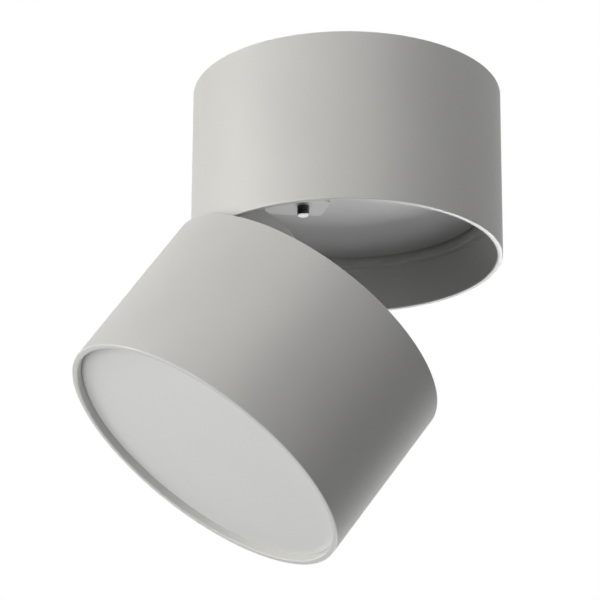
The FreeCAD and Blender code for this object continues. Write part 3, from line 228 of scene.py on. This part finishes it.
# Finishes by slot, and two more: a lighter, glossier copy of the shell coat for the shells' rims, whose lighter
# colour is a painted highlight, and a near-black copy of the steel for the threads, which is painted dark
# reflection
FINISHES = {
    "shell_powder_coat": dict(colours=((0.608, 0.606, 0.594), (0.628, 0.625, 0.611)),
                              roughness=(0.46, 0.54),
                              cloud=45.0, grain=2600.0, depth=0.02 * MM),
    # Rims: the same coat made glossier, and lighter in colour as a painted highlight
    "rim_painted_highlight": dict(colours=((0.70, 0.70, 0.69), (0.72, 0.72, 0.71)), roughness=(0.34, 0.42),
                       cloud=45.0, grain=2600.0, depth=0.01 * MM, specular=0.55),
    # Threads: a near-black copy of the screw steel, painted dark reflection; the screw ends keep the bright steel
    "thread_painted_dark": dict(colours=((0.05, 0.05, 0.052), (0.09, 0.09, 0.095)), roughness=(0.30, 0.42),
                         cloud=400.0, grain=5000.0, depth=0.006 * MM, metallic=1.0),
    "disc_powder_coat": dict(colours=(grey(0.66), grey(0.68)), roughness=(0.30, 0.37),
                             cloud=45.0, grain=2600.0, depth=0.015 * MM),
    "hinge_powder_coat": dict(colours=(grey(0.86, 0.005), grey(0.89, 0.008)), roughness=(0.28, 0.36),
                              cloud=60.0, grain=2600.0, depth=0.015 * MM),
    "zinc_plated_steel": dict(colours=((0.60, 0.61, 0.63), (0.72, 0.71, 0.66)), roughness=(0.28, 0.45),
                              cloud=160.0, grain=3000.0, depth=0.01 * MM, metallic=1.0),
    "screw_steel": dict(colours=((0.55, 0.55, 0.56), (0.66, 0.66, 0.67)), roughness=(0.18, 0.30),
                        cloud=400.0, grain=5000.0, depth=0.006 * MM, metallic=1.0),
    "bare_aluminium": dict(colours=((0.72, 0.73, 0.74), (0.80, 0.80, 0.81)), roughness=(0.35, 0.55),
                           cloud=120.0, grain=2200.0, depth=0.02 * MM, metallic=1.0),
    "opal_acrylic": dict(colours=(grey(0.83, -0.006), grey(0.85, -0.003)), roughness=(0.42, 0.50),
                         cloud=30.0, grain=1200.0, depth=0.004 * MM, specular=0.4),
    "white_plastic": dict(colours=(grey(0.78, 0.01), grey(0.81, 0.02)), roughness=(0.35, 0.48),
                          cloud=80.0, grain=1500.0, depth=0.02 * MM),
    "nylon": dict(colours=(grey(0.66, 0.06), grey(0.70, 0.05)), roughness=(0.40, 0.52),
                  cloud=150.0, grain=1800.0, depth=0.02 * MM),
    "grey_rubber": dict(colours=(grey(0.045), grey(0.060)), roughness=(0.62, 0.78),
                        cloud=200.0, grain=2400.0, depth=0.03 * MM),
    "driver_board_green": dict(colours=((0.012, 0.10, 0.035), (0.018, 0.13, 0.05)), roughness=(0.3, 0.42),
                               cloud=250.0, grain=900.0, depth=0.02 * MM),
    "light_board_white": dict(colours=(grey(0.80), grey(0.84, 0.01)), roughness=(0.34, 0.44),
                              cloud=90.0, grain=1200.0, depth=0.01 * MM),
    "chip_phosphor": dict(colours=((0.82, 0.62, 0.10), (0.88, 0.70, 0.16)), roughness=(0.35, 0.5),
                          cloud=900.0, grain=4000.0, depth=0.01 * MM),
    "transformer_tape": dict(colours=((0.78, 0.55, 0.05), (0.84, 0.62, 0.09)), roughness=(0.25, 0.38),
                             cloud=200.0, grain=1400.0, depth=0.03 * MM),
    "capacitor_sleeve": dict(colours=((0.02, 0.02, 0.022), (0.03, 0.03, 0.034)), roughness=(0.22, 0.34),
                             cloud=250.0, grain=1600.0, depth=0.02 * MM),
}
MATERIALS = {name: finish_of(name + "_finish", **values) for name, values in FINISHES.items()}


# Pieces

def rounded(corners):
    """Points of a closed profile; each corner is (radius, level, rounding)."""
    points = []
    for index, (x, z, rounding) in enumerate(corners):
        here = Vector((x, z))
        back = (Vector(corners[index - 1][:2]) - here).normalized()
        onward = (Vector(corners[(index + 1) % len(corners)][:2]) - here).normalized()
        half = back.angle(onward) / 2
        if rounding <= 0 or half > STRAIGHT_HALF:
            points.append(here)
            continue
        reach = rounding / math.tan(half)
        centre = here + (back + onward).normalized() * rounding / math.sin(half)
        first = here + back * reach - centre
        last = here + onward * reach - centre
        turn = first.angle_signed(last)
        for step in range(ROUND_STEPS + 1):
            spoke = Matrix.Rotation(-turn * step / ROUND_STEPS, 2) @ first
            points.append(centre + spoke)
    return points


def circle(radius, level, sides):
    """A ring of points about the Z axis; without a radius it is one point on that axis."""
    if radius <= 0:
        return [Vector((0, 0, level))]
    angles = [FULL_TURN * side / sides for side in range(sides)]
    return [Vector((radius * math.cos(a), radius * math.sin(a), level)) for a in angles]


def skin(mesh, rings, closed, matrix=Matrix.Identity(4), painted_light_rings=()):
    """Faces from each ring to the next, and from the last to the first where the skin is closed.

    The painted light rings are the numbers of the faces' materials, one for each ring; they give the shells' rims
    their painted highlight and the threads their painted dark reflection.
    """
    rows = [[mesh.verts.new(matrix @ point) for point in ring] for ring in rings]
    pairs = list(zip(rows, rows[1:]))
    if closed:
        pairs.append((rows[-1], rows[0]))
    for number, (one, two) in enumerate(pairs):
        count = max(len(one), len(two))
        for side in range(count):
            after = (side + 1) % count
            corners = (one[side % len(one)], one[after % len(one)],
                       two[after % len(two)], two[side % len(two)])
            face = mesh.faces.new(list(dict.fromkeys(corners)))
            if painted_light_rings:
                face.material_index = painted_light_rings[number]


def turned(mesh, corners, rims, matrix=Matrix.Identity(4)):
    """A shell turned about the canopy's axis from a closed profile; faces at its rims' levels take a lighter,
    glossier copy of the coat, a painted highlight.
    """
    profile = rounded(corners)
    following = profile[1:] + profile[:1]
    # Faces at a rim's level get the second material, the painted highlight
    painted_light_rings = [int(any(max(abs(one.y - rim), abs(two.y - rim)) < RIM_ROUND for rim in rims))
                for one, two in zip(profile, following)]
    rings = [circle(point.x, point.y, SHELL_SIDES) for point in profile]
    skin(mesh, rings, closed=True, matrix=matrix, painted_light_rings=painted_light_rings)


def piece(mesh, name, node, crisp=True, extra=()):
    """Make the mesh a piece that stands for a node, rides on its body and takes its finish."""
    bmesh.ops.recalc_face_normals(mesh, faces=mesh.faces)
    for edge in mesh.edges:
        edge.smooth = not crisp or edge.calc_face_angle(0) < EDGE_ANGLE
    data = bpy.data.meshes.new(name)
    mesh.to_mesh(data)
    mesh.free()
    item = bpy.data.objects.new(name, data)
    bpy.context.scene.collection.objects.link(item)
    data.polygons.foreach_set("use_smooth", [True] * len(data.polygons))
    for finish in (SLOT_OF[node], *extra):
        data.materials.append(MATERIALS[finish])
    weighting = item.modifiers.new("even_shading", "WEIGHTED_NORMAL")
    weighting.keep_sharp = True
    weighting.weight = SHADING_WEIGHT
    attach(item, BODY_OF[node])
    return item


def posts(mesh, low, high, matrix=Matrix.Identity(4)):
    """Screw posts that grow out of a half's inner wall."""
    root = CORE + POST_ROOT - POST_PLACE
    outer = []
    inner = []
    for side in range(POST_SIDES):
        angle = FULL_TURN * side / POST_SIDES
        along, across = math.sin(angle), math.cos(angle)
        inner.append(Vector((POST_HOLE * across, POST_PLACE + POST_HOLE * along, 0)))
        if along > 0:
            reach = min(root / along, POST_RAD / max(abs(across), SMALLEST_SHARE))
        else:
            reach = POST_RAD
        outer.append(Vector((reach * across, POST_PLACE + reach * along, 0)))
    up = Vector((0, 0, 1))
    rings = [[point + up * level for point in loop]
             for loop, level in ((inner, low), (outer, low), (outer, high), (inner, high))]
    for number in range(POST_COUNT):
        spin = Matrix.Rotation(FULL_TURN * number / POST_COUNT, 4, "Z")
        skin(mesh, rings, closed=True, matrix=matrix @ spin)


def lugs(mesh):
    """Lugs of the twist lock inside the canopy's upper end."""
    inner, outer = CORE - LUG_REACH, CORE + POST_ROOT
    low, high = -LUG_TOP - LUG_THICK, -LUG_TOP
    for number in range(POST_COUNT):
        middle = math.pi + FULL_TURN * number / POST_COUNT
        angles = [middle + LUG_ANGLE * (step / LUG_STEPS - 0.5) for step in range(LUG_STEPS + 1)]
        near = [Vector((inner * math.cos(a), inner * math.sin(a), 0)) for a in angles]
        far = [Vector((outer * math.cos(a), outer * math.sin(a), 0)) for a in reversed(angles)]
        rows = []
        for level in (low, high):
            rows.append([mesh.verts.new(point + Vector((0, 0, level))) for point in near + far])
        count = len(rows[0])
        for side in range(count):
            after = (side + 1) % count
            mesh.faces.new((rows[0][side], rows[0][after], rows[1][after], rows[1][side]))
        for row in rows:
            mesh.faces.new(row)


def make_canopy():
    """Turned ring, thin at its rim, with its lugs and posts."""
    mesh = bmesh.new()
    turned(mesh, [
        (CORE, 0, INNER_ROUND),
        (CORE, CANOPY_SHOULDER, RIM_ROUND),
        (RIM_IN, CANOPY_SHOULDER, INNER_ROUND),
        (RIM_IN, CANOPY_RIM, RIM_ROUND),
        (OUTER, CANOPY_RIM, RIM_ROUND),
        (OUTER, 0, RIM_ROUND),
    ], rims=(CANOPY_RIM, 0))
    posts(mesh, CARRIER_TOP, CARRIER_TOP + CANOPY_POST_TALL)
    lugs(mesh)
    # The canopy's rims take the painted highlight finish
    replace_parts(piece(mesh, "canopy_wall", "canopy_shell", extra=["rim_painted_highlight"]), "canopy_shell")


def make_head():
    """Body of the head, stepped for its cover, heat sink and diffuser."""
    mesh = bmesh.new()
    turned(mesh, [
        (OUTER, HEAD_TOP, RIM_ROUND),
        (RIM_IN, HEAD_TOP, RIM_ROUND),
        (RIM_IN, COVER_LOW, INNER_ROUND),
        (CORE, COVER_LOW, INNER_ROUND),
        (CORE, SINK_LOW, INNER_ROUND),
        (FRONT_BORE, SINK_LOW, INNER_ROUND),
        (FRONT_BORE, DIFFUSER_TOP, INNER_ROUND),
        (RIM_IN, DIFFUSER_TOP, INNER_ROUND),
        (RIM_IN, HEAD_FRONT, RIM_ROUND),
        (OUTER, HEAD_FRONT, RIM_ROUND),
    ], rims=(HEAD_TOP, HEAD_FRONT), matrix=SHUT_TO_REST)
    posts(mesh, COVER_LOW - HEAD_POST_TALL, COVER_LOW, matrix=SHUT_TO_REST)
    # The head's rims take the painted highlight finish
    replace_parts(piece(mesh, "head_wall", "head_shell", extra=["rim_painted_highlight"]), "head_shell")


def make_diffuser():
    """Flat opal disc with softly rounded edges."""
    mesh = bmesh.new()
    profile = rounded([
        (0, DIFFUSER_TOP, 0),
        (DIFFUSER_RAD, DIFFUSER_TOP, DIFFUSER_ROUND),
        (DIFFUSER_RAD, DIFFUSER_TOP - DIFFUSER_THICK, DIFFUSER_ROUND),
        (0, DIFFUSER_TOP - DIFFUSER_THICK, 0),
    ])
    skin(mesh, [circle(point.x, point.y, SHELL_SIDES) for point in profile], closed=False,
         matrix=SHUT_TO_REST)
    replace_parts(piece(mesh, "diffuser_disc", "diffuser"), "diffuser")


def cross_recess(x, y):
    """Depth of the cross at a place on a head, where x and y are shares of the head's radius."""
    x, y = abs(x), abs(y)
    outside = min(max(x - CROSS_REACH, y - CROSS_HALF), max(y - CROSS_REACH, x - CROSS_HALF))
    return CROSS_DEPTH * min(max(-outside / CROSS_WALL, 0), 1)


def screw_head(mesh, rad, tall, matrix):
    """Domed head with a cross recess, standing on level zero."""
    rings = [[Vector((0, 0, 0))], circle(rad, 0, HEAD_SIDES)]
    for ring in range(HEAD_RINGS, 0, -1):
        share = ring / HEAD_RINGS
        dome = HEAD_SIDE + (1 - HEAD_SIDE) * math.sqrt(1 - share ** DOME_POWER)
        points = circle(rad * share, dome * tall, HEAD_SIDES)
        for point in points:
            point.z -= tall * cross_recess(point.x / rad, point.y / rad)
        rings.append(points)
    rings.append([Vector((0, 0, tall * (1 - CROSS_DEPTH)))])
    skin(mesh, rings, closed=False, matrix=matrix)


def thread(mesh, rad, pitch, long, matrix):
    """Thread that runs down from level zero to a chamfered end."""
    count = math.ceil(long / pitch * THREAD_STEPS)
    rings = [[Vector((0, 0, 0))]]
    for step in range(count + 1):
        depth = long * step / count
        points = []
        for side in range(THREAD_SIDES):
            phase = (depth / pitch + side / THREAD_SIDES) % 1
            groove = THREAD_DEPTH * pitch * (1 - abs(2 * phase - 1))
            reach = min(rad - groove, rad - THREAD_TIP + (long - depth))
            angle = FULL_TURN * side / THREAD_SIDES
            points.append(Vector((reach * math.cos(angle), reach * math.sin(angle), -depth)))
        rings.append(points)
    rings.append([Vector((0, 0, -long))])
    # The threaded rings take the second material, the painted dark reflection; the end rings keep the bright steel
    painted_light_rings = [1] * (count - THREAD_END_RINGS) + [0] * (THREAD_END_RINGS + 2)
    skin(mesh, rings, closed=False, matrix=matrix, painted_light_rings=painted_light_rings)


def screws(node, kind, seats, long, matrix=Matrix.Identity(4), head_up=True):
    """A node's screws, each with its head on its seat."""
    rad, pitch, head_rad, head_tall = kind
    mesh = bmesh.new()
    flip = Matrix.Identity(4) if head_up else Matrix.Rotation(math.pi, 4, "X")
    for number, seat in enumerate(seats):
        turn = Matrix.Rotation(math.radians(SCREW_TURNS[number]), 4, "Z")
        placed = matrix @ Matrix.Translation(seat) @ flip @ turn
        screw_head(mesh, head_rad, head_tall, placed)
        thread(mesh, rad, pitch, long, placed)
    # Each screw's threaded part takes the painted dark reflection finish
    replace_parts(piece(mesh, node + "_finished", node, extra=["thread_painted_dark"]), node)


def post_places(level):
    """Axes of the three screw posts at a level."""
    angles = [math.pi / 2 + FULL_TURN * number / POST_COUNT for number in range(POST_COUNT)]
    return [Vector((POST_PLACE * math.cos(a), POST_PLACE * math.sin(a), level)) for a in angles]


def make_screws():
    """All screws with a driver's cross and a thread."""
    low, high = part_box("leaf_bolts")
    seat = high.z - M4_LOW[3]
    places = [Vector((-BOLT_NEAR - BOLT_SPACING * number, 0, seat)) for number in range(BOLT_COUNT)]
    screws("leaf_bolts", M4_LOW, places, seat - low.z)
    low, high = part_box("carrier_screws")
    seat = high.z - M3_PAN[3]
    screws("carrier_screws", M3_PAN, post_places(seat), seat - low.z)
    low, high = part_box("driver_screws")
    seat = high.z - M3_PAN[3]
    middle = (low.y + high.y) / 2
    places = [Vector((low.x + M3_PAN[2], middle, seat)), Vector((high.x - M3_PAN[2], middle, seat))]
    screws("driver_screws", M3_PAN, places, seat - low.z)
    screws("back_cover_screws", M3_PAN, post_places(COVER_TOP), HEAD_POST_TALL, SHUT_TO_REST)
    first = PIVOT.x + FOOT_SCREW_START
    seat = COVER_TOP + YOKE_THICK
    places = [Vector((first + FOOT_SCREW_SPACING * number, 0, seat))
              for number in range(FOOT_SCREW_COUNT)]
    screws("yoke_screws", M3_PAN, places, FOOT_SCREW_GRIP, SHUT_TO_REST)
    seat = SINK_LOW - BOARD_THICK
    places = [Vector((0, side * BOARD_SCREW_PLACE, seat)) for side in (1, -1)]
    screws("light_board_screws", M2_5_PAN, places, BOARD_SCREW_LONG, SHUT_TO_REST, head_up=False)


# Width of the rounded edges of the other nodes, in millimetres
SOFT_EDGES = {
    "ceiling_plate": 0.15, "entry_bushing": 0.2, "terminal_block": 0.25, "driver_case": 0.4,
    "driver_lid": 0.4, "swivel_disc": 0.15, "disc_grommet": 0.3, "hinge_leaf": 0.15, "hinge_pin": 0.3,
    "pin_clip": 0.08, "yoke": 0.15, "friction_washers": 0.08, "back_cover": 0.15, "head_grommet": 0.3,
    "backing_plate": 0.2, "hub_nut": 0.3, "swivel_hub": 0.2, "carrier_plate": 0.15, "carrier_stop": 0.2,
    "disc_stop": 0.2, "bearing_washer": 0.08, "spring_washer": 0.08, "driver_board": 0.1,
    "driver_transformer": 0.5, "driver_capacitor": 0.5, "terminal_screws": 0.1, "heat_sink": 0.15,
    "light_board": 0.1, "light_chips": 0.1, "reflector": 0.08,
}


def soften(node, width):
    """Stand a copy of a node with rounded edges in its place."""
    mesh = bmesh.new()
    mesh.from_mesh(frame["nodes"][node].data)
    bmesh.ops.remove_doubles(mesh, verts=mesh.verts, dist=MERGE_REACH)
    bmesh.ops.dissolve_limit(mesh, angle_limit=FLAT_ANGLE, verts=mesh.verts, edges=mesh.edges)
    item = piece(mesh, node + "_finished", node, crisp=False)
    bevel = item.modifiers.new("rounded_edges", "BEVEL")
    bevel.width = width * MM
    bevel.segments = EDGE_STEPS
    bevel.limit_method = "ANGLE"
    bevel.angle_limit = EDGE_ANGLE
    item.modifiers.move(1, 0)
    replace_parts(item, node)


make_canopy()
make_head()
make_diffuser()
make_screws()
for soft_node, edge_width in SOFT_EDGES.items():
    soften(soft_node, edge_width)


# Floor, light and camera

FLOOR_LEVEL = -1.6
FLOOR_SIZE = 2.5
FLOOR_GLOW = 0.75
FLOOR_EDGE_GLOW = 1.15
FLOOR_FADE = (1.0, 2.4)
FLOOR_FINISH = dict(colours=(grey(0.80), grey(0.82)), roughness=(0.7, 0.8), cloud=2.0, grain=40.0,
                    depth=0.5 * MM)
CAMERA_PLACE = Vector((-0.24145, -0.92507, -0.43384))
CAMERA_HEADING = math.radians(13.737)
CAMERA_RISE = math.radians(20.787)
CAMERA_ROLL = math.radians(0.342)
CAMERA_LENS = 192.57
CAMERA_CLIP = (0.01, 100.0)
AMBIENT = 0.02
ROOM_LIGHT = 0.2
SCREEN_LIGHT = 1.1
SCREEN_EDGE = (0.1, 0.6)
LIGHT_TARGET = Vector((0, 0, -0.08))
LIGHT_DISTANCE = 1.2
WARM_WHITE = (1.0, 0.99, 0.94)
SOFT_WHITE = (1.0, 0.995, 0.98)
WHITE = (1.0, 1.0, 1.0)

# Soft boxes: bearing from the camera's side to its right and rise in degrees, side in metres, watts
# and colour
LIGHTS = {
    "left_key": (-80.0, 10.0, 0.6, 7.2, WARM_WHITE),
    "left_fill": (-50.0, -20.0, 0.6, 6.8, SOFT_WHITE),
    "front_fill": (10.0, 40.0, 0.6, 4.9, SOFT_WHITE),
    "right_fill": (100.0, 40.0, 0.6, 1.2, WHITE),
    "right_low": (40.0, -20.0, 0.6, 1.0, WHITE),
    "back_low": (150.0, -50.0, 0.6, 2.4, WHITE),
    "back_rim": (165.0, -22.0, 0.25, 5.2, WHITE),
}


def make_floor():
    """Plain pale floor well below the lamp, white at its edge, which throws no light up on the lamp."""
    mesh = bmesh.new()
    bmesh.ops.create_grid(mesh, x_segments=1, y_segments=1, size=FLOOR_SIZE)
    data = bpy.data.meshes.new("floor")
    mesh.to_mesh(data)
    mesh.free()
    floor = bpy.data.objects.new("floor", data)
    floor.location = (0, 0, FLOOR_LEVEL)
    bpy.context.scene.collection.objects.link(floor)
    finish = finish_of("floor_finish", **FLOOR_FINISH)
    tree = finish.node_tree
    shader = tree.nodes["Principled BSDF"]
    shader.inputs["Emission Color"].default_value = (*WHITE, 1.0)
    where = tree.nodes.new("ShaderNodeTexCoord")
    away = tree.nodes.new("ShaderNodeVectorMath")
    away.operation = "LENGTH"
    link(tree, where, "Object", away, 0)
    glow = tree.nodes.new("ShaderNodeMapRange")
    glow.inputs["From Min"].default_value = FLOOR_FADE[0]
    glow.inputs["From Max"].default_value = FLOOR_FADE[1]
    glow.inputs["To Min"].default_value = FLOOR_GLOW
    glow.inputs["To Max"].default_value = FLOOR_EDGE_GLOW
    link(tree, away, "Value", glow, "Value")
    link(tree, glow, "Result", shader, "Emission Strength")
    data.materials.append(finish)
    floor.visible_diffuse = False


def make_camera():
    """Camera at the photograph's viewing angle."""
    forward = Vector((math.sin(CAMERA_HEADING) * math.cos(CAMERA_RISE),
                      math.cos(CAMERA_HEADING) * math.cos(CAMERA_RISE), math.sin(CAMERA_RISE)))
    right = forward.cross(Vector((0, 0, 1))).normalized()
    up = right.cross(forward)
    basis = Matrix((right, up, -forward)).transposed() @ Matrix.Rotation(CAMERA_ROLL, 3, "Z")
    camera = bpy.data.objects.new("camera", bpy.data.cameras.new("camera"))
    camera.data.lens = CAMERA_LENS
    camera.data.clip_start = CAMERA_CLIP[0]
    camera.data.clip_end = CAMERA_CLIP[1]
    camera.matrix_world = Matrix.Translation(CAMERA_PLACE) @ basis.to_4x4()
    bpy.context.scene.collection.objects.link(camera)
    bpy.context.scene.camera = camera


def make_light(name, bearing, rise, side, power, colour):
    """Square soft box that faces the lamp and isn't seen itself."""
    heading = math.pi + CAMERA_HEADING - math.radians(bearing)
    rise = math.radians(rise)
    away = Vector((math.sin(heading) * math.cos(rise), math.cos(heading) * math.cos(rise), math.sin(rise)))
    data = bpy.data.lights.new(name, "AREA")
    data.energy = power
    data.color = colour
    data.size = side
    light = bpy.data.objects.new(name, data)
    light.location = LIGHT_TARGET + away * LIGHT_DISTANCE
    light.rotation_euler = away.to_track_quat("Z", "Y").to_euler()
    light.visible_camera = False
    bpy.context.scene.collection.objects.link(light)


def make_world():
    """White past the lamp, a white screen behind it that its gloss mirrors, and a weak even light."""
    world = bpy.data.worlds.new("studio")
    world.use_nodes = True
    tree = world.node_tree
    backdrop = tree.nodes["Background"]
    backdrop.inputs["Color"].default_value = (*WHITE, 1.0)
    even = tree.nodes.new("ShaderNodeBackground")
    even.inputs["Color"].default_value = (*WHITE, 1.0)
    even.inputs["Strength"].default_value = AMBIENT
    screen = tree.nodes.new("ShaderNodeBackground")
    screen.inputs["Color"].default_value = (*WHITE, 1.0)
    where = tree.nodes.new("ShaderNodeTexCoord")
    facing = tree.nodes.new("ShaderNodeVectorMath")
    facing.operation = "DOT_PRODUCT"
    facing.inputs[1].default_value = (math.sin(CAMERA_HEADING), math.cos(CAMERA_HEADING), 0)
    link(tree, where, "Generated", facing, 0)
    edge = tree.nodes.new("ShaderNodeMapRange")
    edge.inputs["From Min"].default_value = SCREEN_EDGE[0]
    edge.inputs["From Max"].default_value = SCREEN_EDGE[1]
    edge.inputs["To Min"].default_value = ROOM_LIGHT
    edge.inputs["To Max"].default_value = SCREEN_LIGHT
    link(tree, facing, "Value", edge, "Value")
    link(tree, edge, "Result", screen, "Strength")
    rays = tree.nodes.new("ShaderNodeLightPath")
    mirrored = tree.nodes.new("ShaderNodeMixShader")
    link(tree, rays, "Is Glossy Ray", mirrored, "Fac")
    link(tree, even, "Background", mirrored, 1)
    link(tree, screen, "Background", mirrored, 2)
    chosen = tree.nodes.new("ShaderNodeMixShader")
    link(tree, rays, "Is Camera Ray", chosen, "Fac")
    link(tree, mirrored, "Shader", chosen, 1)
    link(tree, backdrop, "Background", chosen, 2)
    link(tree, chosen, "Shader", tree.nodes["World Output"], "Surface")
    bpy.context.scene.world = world


make_floor()
make_camera()
make_world()
for light_name, light_values in LIGHTS.items():
    make_light(light_name, *light_values)
bpy.context.scene.view_settings.view_transform = "Standard"
